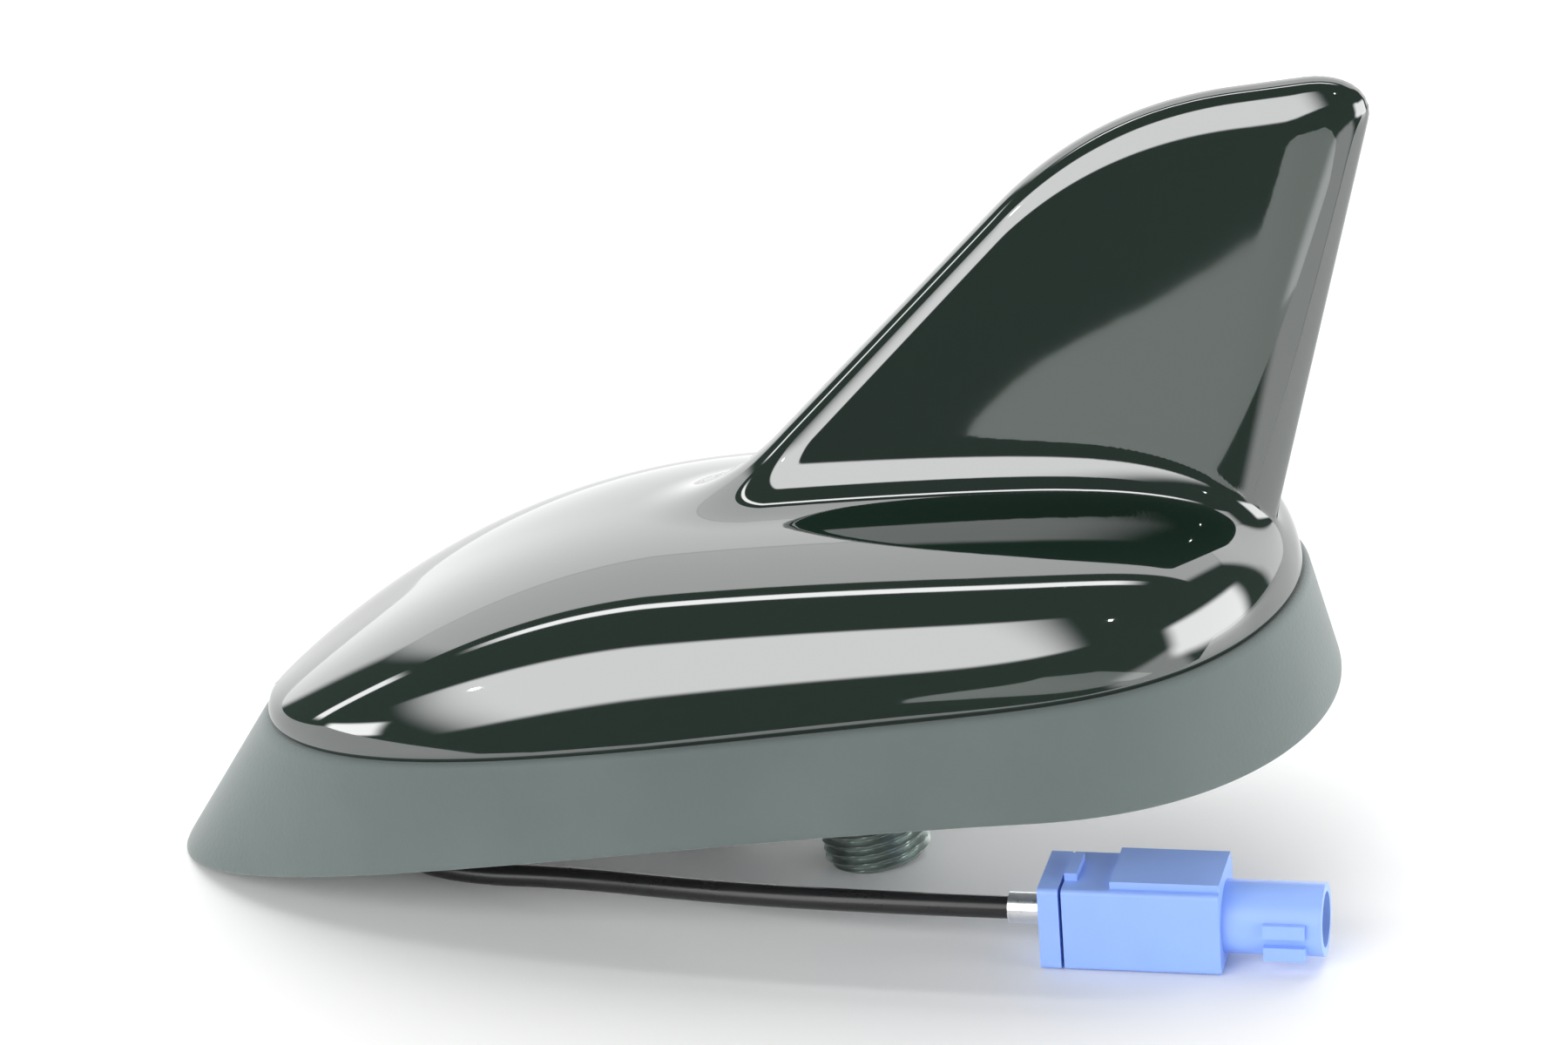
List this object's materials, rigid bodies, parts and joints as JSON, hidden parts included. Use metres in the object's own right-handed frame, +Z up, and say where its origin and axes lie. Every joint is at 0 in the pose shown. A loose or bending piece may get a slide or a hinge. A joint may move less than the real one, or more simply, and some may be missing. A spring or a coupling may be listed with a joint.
{
  "type": "car roof antenna",
  "caption": "Fin-shaped car roof antenna with a flared rubber seal, a hollow mounting stud and a short coaxial lead that ends in a locking plug.",
  "frame": {"origin": "on the mounting stud's axis, at the level of the roof's highest line", "axes": "+Z up from the roof along the stud's axis, -X towards the nose, +X towards the tail"},
  "size_m": [0.1754, 0.0742, 0.1047],
  "materials": {
    "cover_gloss": "high gloss black",
    "seal_rubber": "matte moulded rubber",
    "cast_metal": "die-cast",
    "stud_steel": "dark zinc",
    "foam": "closed-cell foam",
    "screw_steel": "zinc",
    "board": "solder mask",
    "ceramic": "fired ceramic",
    "tinplate": "tinned sheet",
    "holder_plastic": "moulded",
    "spring_brass": "bright",
    "grommet_rubber": "moulded",
    "cable_jacket": "smooth jacket",
    "ferrule_metal": "tinned",
    "plug_blue": "satin moulded",
    "contact_metal": "plated",
    "insulator": "white"
  },
  "bodies": {
    "root": {"fin_cover": "cover_gloss", "roof_seal": "seal_rubber", "base_plate": "cast_metal", "mounting_stud": "stud_steel", "stud_gasket": "foam", "cover_screws": "screw_steel", "main_board": "board", "board_screws": "screw_steel", "patch_antenna": "ceramic", "small_patch_antenna": "ceramic", "shield_can": "tinplate", "fin_holder": "holder_plastic", "fin_board": "board", "contact_springs": "spring_brass", "cable_header": "contact_metal", "cable_grommet": "grommet_rubber", "coax_cable": "cable_jacket", "crimp_ferrule": "ferrule_metal", "plug_lock": "plug_blue", "plug_housing": "plug_blue", "plug_sleeve": "contact_metal", "plug_insulator": "insulator", "plug_pin": "contact_metal"}
  },
  "joints": []
}
